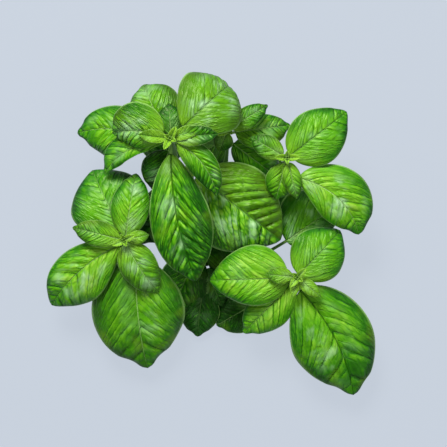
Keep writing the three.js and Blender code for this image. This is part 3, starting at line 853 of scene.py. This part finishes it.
# Back sprig, between its two taller neighbours. Its leaves are narrow and strongly creased, and partly
# deep green with painted shade. It stands between them and is held by nothing else.
grow_sprig(
    "back", "sprig_back",
    apex=(11, 65, 46), cut=(2.4, -54, 1.8), lie=60, climb=43, girth=4.2, bud=35,
    leaves=[
        dict(down=4, head=32, petiole=2, long=27, wide=14, pitch=10, droop=25, shade=0.46, veins=8,
             quilt=1.3, painted_sheen=0.6),
        dict(down=2, head=-112, petiole=2, long=13, wide=13, pitch=20, droop=40, shade=0.36, youth=-0.3,
             quilt=1.3, veins=7),
        dict(down=12, head=8, petiole=5, long=36, wide=23, pitch=0, droop=30, lop=-0.15,
             shade=0.52, quilt=1.1, veins=6.5),
        dict(down=20, head=-36, petiole=5, long=40, wide=26, pitch=-12, droop=30, lop=0.15, shade=0.3),
        dict(down=1, head=80, petiole=1, long=13, wide=5, pitch=40, droop=30, fold=45, shade=0.4),
        dict(down=18, head=210, petiole=4, long=28, wide=24, pitch=-5, droop=30, lop=0.2, shade=0.32),
        dict(down=50, head=16, petiole=8, long=35, wide=26, rise=5, pitch=-15, droop=25, shade=0.12),
    ],
)

# Middle sprig. Its stem lies on top of the others. It carries the widest and most quilted leaf of the
# bunch, half olive, half pale with painted sheen, and low in front the oldest leaves, crumpled and deep
# green, partly with painted shade.
grow_sprig(
    "middle", "sprig_middle",
    apex=(-12, 40, 36), cut=(-1, -49, 7.2), lie=40, climb=30, girth=4.4, bud=40,
    leaves=[
        dict(down=3, head=-37, petiole=5, long=68, wide=59, pitch=13, droop=48, lop=-0.05,
             drawn=0.1, shade=0.57, painted_sheen=0.65, quilt=2, veins=8, slant=0.75, groove=0.8, lit=-0.8,
             warm=0.4),
        dict(down=14, head=231, petiole=5, long=49, wide=33, pitch=0, droop=30, shade=0.08, painted_sheen=0.1),
        dict(down=20, head=-80, petiole=5, long=50, wide=31, pitch=-5, droop=30, shade=0.1, painted_sheen=0.1),
        dict(down=62, head=-118, petiole=8, long=38, wide=34, pitch=4, droop=20, side=10, rise=45,
             shade=0.17, painted_sheen=0.15, quilt=1.6, veins=7, groove=0.6),
        dict(down=84, head=-102, petiole=7, long=30, wide=27, rise=40, pitch=0, droop=28, side=10,
             shade=0.04, painted_sheen=0.15, quilt=1.5, veins=7, groove=0.7),
        dict(down=70, head=-66, petiole=7, long=26, wide=22, rise=45, pitch=0, droop=15,
             shade=0.2, painted_sheen=0.2, quilt=1.5, veins=7, groove=0.6),
        dict(down=57, head=-16, petiole=7, long=31, wide=32, rise=45, pitch=0, droop=20, lop=-0.2,
             shade=0.24, painted_sheen=0.2, quilt=1.3, veins=7),
        dict(down=4, head=-108, petiole=3, long=20, wide=15, pitch=8, droop=50, shade=0.15, youth=-0.5),
    ],
)

# The plain pale floor that the bunch lies on: a smooth matt sheet, lit almost evenly. Nothing is fixed
# to it, and it belongs to the studio, not to the bunch.
FLOOR_HALF = 3.0
floor_mesh = bpy.data.meshes.new("floor")
floor_mesh.from_pydata(
    [(x * FLOOR_HALF, y * FLOOR_HALF, 0) for x, y in ((-1, -1), (1, -1), (1, 1), (-1, 1))],
    [], [(0, 1, 2, 3)],
)
floor = bpy.data.objects.new("floor", floor_mesh)
bpy.context.collection.objects.link(floor)
pale, _, shader = new_material("pale_floor")
shader.inputs["Base Color"].default_value = (0.045, 0.049, 0.056, 1)
shader.inputs["Roughness"].default_value = 0.9
shader.inputs["Specular IOR Level"].default_value = 0.0
shader.inputs["Emission Color"].default_value = (0.597, 0.658, 0.752, 1)
shader.inputs["Emission Strength"].default_value = 0.885
floor_mesh.materials.append(pale)


# Soft studio light: a large soft box stands above and behind the bunch, a weaker one to the front right,
# and a pale surround fills the shade between the leaves. Both boxes point at the middle of the bunch.
BUNCH_MIDDLE = Vector((0, 0, 0.03))


def soft_box(name, place, size, watts, colour):
    """A round lamp, size metres across, that points at the bunch."""
    light = bpy.data.lights.new(name, "AREA")
    light.shape = "DISK"
    light.size = size
    light.energy = watts
    light.color = colour
    lamp = bpy.data.objects.new(name, light)
    bpy.context.collection.objects.link(lamp)
    lamp.location = place
    lamp.rotation_euler = (BUNCH_MIDDLE - Vector(place)).to_track_quat("-Z", "Y").to_euler()


soft_box("key_light", place=(-0.2, 0.72, 0.85), size=0.5, watts=17, colour=(1.0, 0.98, 0.9))
soft_box("fill_light", place=(0.7, -0.3, 1.0), size=0.8, watts=3, colour=(1.0, 1.0, 0.85))
world = bpy.data.worlds.new("pale_surround")
world.use_nodes = True
surround = world.node_tree.nodes["Background"]
surround.inputs["Color"].default_value = (0.87, 0.96, 0.84, 1)
surround.inputs["Strength"].default_value = 0.3
bpy.context.scene.world = world
bpy.context.scene.view_settings.view_transform = "Standard"

# The camera looks straight down from 0.8 m above the floor, with a long lens, so that the bunch fills
# the frame as it does in the photograph.
LENS = 100.67
CAMERA_PLACE = (0.00832, 0.00808, 0.8)
camera = bpy.data.objects.new("camera", bpy.data.cameras.new("camera"))
camera.data.lens = LENS
camera.location = CAMERA_PLACE
bpy.context.collection.objects.link(camera)
bpy.context.scene.camera = camera
